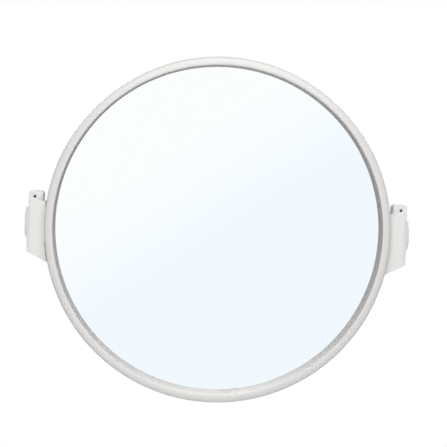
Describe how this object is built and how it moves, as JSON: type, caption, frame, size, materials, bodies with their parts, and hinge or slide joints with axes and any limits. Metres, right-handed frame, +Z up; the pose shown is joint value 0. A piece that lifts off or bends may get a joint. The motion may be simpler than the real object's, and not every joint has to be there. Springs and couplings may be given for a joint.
{
  "type": "extendable shaving mirror",
  "caption": "Round wall-mounted shaving mirror that tilts in a yoke and swivels on a folding scissor arm.",
  "frame": {"origin": "centre of the wall plate's back face, on the wall", "axes": "+Y points into the wall, so the mirror faces -Y; +Z is up; +X is to the right of someone looking into the mirror"},
  "size_m": [0.2256, 0.2616, 0.2],
  "materials": {
    "ring_plastic": "warm off-white moulded plastic, polished",
    "bracket_plastic": "light grey-white moulded plastic, satin",
    "mount_plastic": "light grey-white moulded plastic, satin",
    "mirror_glass": "silvered float glass",
    "foam": "soft black foam sheet",
    "board": "pressed fibreboard",
    "bar_steel": "chromed steel strip",
    "rivet_steel": "plated steel",
    "nylon": "natural nylon",
    "rubber": "black rubber",
    "spring_steel": "spring steel",
    "dark_screw_steel": "blackened steel",
    "screw_steel": "zinc-plated steel",
    "pin_steel": "zinc-plated steel"
  },
  "bodies": {
    "wall": {"wall_plate": "mount_plastic", "wall_pin": "pin_steel", "wall_pin_clip": "pin_steel", "wall_washers": "nylon"},
    "rear_post": {"rear_post": "mount_plastic", "rear_post_rivet": "rivet_steel"},
    "front_post": {"front_post": "mount_plastic"},
    "yoke": {"yoke_bow": "bracket_plastic", "side_bracket_left": "bracket_plastic", "side_bracket_right": "bracket_plastic", "pivot_cap_left": "bracket_plastic", "pivot_cap_right": "bracket_plastic", "wave_washers": "spring_steel", "bracket_screws": "dark_screw_steel", "yoke_pin": "pin_steel", "yoke_pin_clip": "pin_steel", "yoke_washers": "nylon"},
    "mirror_head": {"bezel_ring": "ring_plastic", "mirror_glass": "mirror_glass", "foam_pad": "foam", "backing_board": "board", "rear_cover": "ring_plastic", "pivot_screws": "screw_steel", "friction_washers": "rubber"},
    "falling_bar_1": {"falling_bar_1": "bar_steel", "falling_rivets_1": "rivet_steel", "falling_spacers_1": "nylon"},
    "rising_bar_1": {"rising_bar_1": "bar_steel", "rising_rivets_1": "rivet_steel", "rising_spacer_1": "nylon"},
    "falling_bar_2": {"falling_bar_2": "bar_steel", "falling_rivets_2": "rivet_steel", "falling_spacers_2": "nylon"},
    "rising_bar_2": {"rising_bar_2": "bar_steel", "rising_rivets_2": "rivet_steel", "rising_spacer_2": "nylon"},
    "falling_bar_3": {"falling_bar_3": "bar_steel", "falling_rivets_3": "rivet_steel", "falling_spacers_3": "nylon"},
    "rising_bar_3": {"rising_bar_3": "bar_steel", "rising_rivets_3": "rivet_steel"}
  },
  "joints": [
    {"name": "wall_swivel", "type": "hinge", "parent": "wall", "child": "rear_post", "pos_m": [0, -0.016, 0], "axis": [0, 0, 1], "range_deg": [-75, 75]},
    {"name": "arm_extend", "type": "hinge", "parent": "rear_post", "child": "falling_bar_1", "pos_m": [0, -0.034, 0.04326], "axis": [-1, 0, 0], "range_deg": [-16, 32]},
    {"name": "cross_pivot_1", "type": "hinge", "parent": "falling_bar_1", "child": "rising_bar_1", "pos_m": [0, -0.05785, 0.00509], "axis": [-1, 0, 0], "range_deg": [-64, 32]},
    {"name": "lower_pivot_1", "type": "hinge", "parent": "falling_bar_1", "child": "rising_bar_2", "pos_m": [0, -0.08169, -0.03307], "axis": [-1, 0, 0], "range_deg": [-64, 32]},
    {"name": "upper_pivot_1", "type": "hinge", "parent": "rising_bar_1", "child": "falling_bar_2", "pos_m": [0, -0.08169, 0.04326], "axis": [-1, 0, 0], "range_deg": [-32, 64]},
    {"name": "lower_pivot_2", "type": "hinge", "parent": "falling_bar_2", "child": "rising_bar_3", "pos_m": [0, -0.12939, -0.03307], "axis": [-1, 0, 0], "range_deg": [-64, 32]},
    {"name": "upper_pivot_2", "type": "hinge", "parent": "rising_bar_2", "child": "falling_bar_3", "pos_m": [0, -0.12939, 0.04326], "axis": [-1, 0, 0], "range_deg": [-32, 64]},
    {"name": "front_post_pivot", "type": "hinge", "parent": "rising_bar_3", "child": "front_post", "pos_m": [0, -0.17708, 0.04326], "axis": [-1, 0, 0], "range_deg": [-16, 32]},
    {"name": "yoke_swivel", "type": "hinge", "parent": "front_post", "child": "yoke", "pos_m": [0, -0.19508, -0.00815], "axis": [0, 0, 1], "range_deg": [-60, 60]},
    {"name": "mirror_tilt", "type": "hinge", "parent": "yoke", "child": "mirror_head", "pos_m": [0, -0.24308, 0], "axis": [1, 0, 0], "range_deg": [-25, 25]}
  ],
  "couplings": [
    {"joint": "cross_pivot_1", "follows": "arm_extend", "ratio": -2},
    {"joint": "lower_pivot_1", "follows": "arm_extend", "ratio": -2},
    {"joint": "upper_pivot_1", "follows": "arm_extend", "ratio": 2},
    {"joint": "lower_pivot_2", "follows": "arm_extend", "ratio": -2},
    {"joint": "upper_pivot_2", "follows": "arm_extend", "ratio": 2},
    {"joint": "front_post_pivot", "follows": "arm_extend", "ratio": 1}
  ]
}
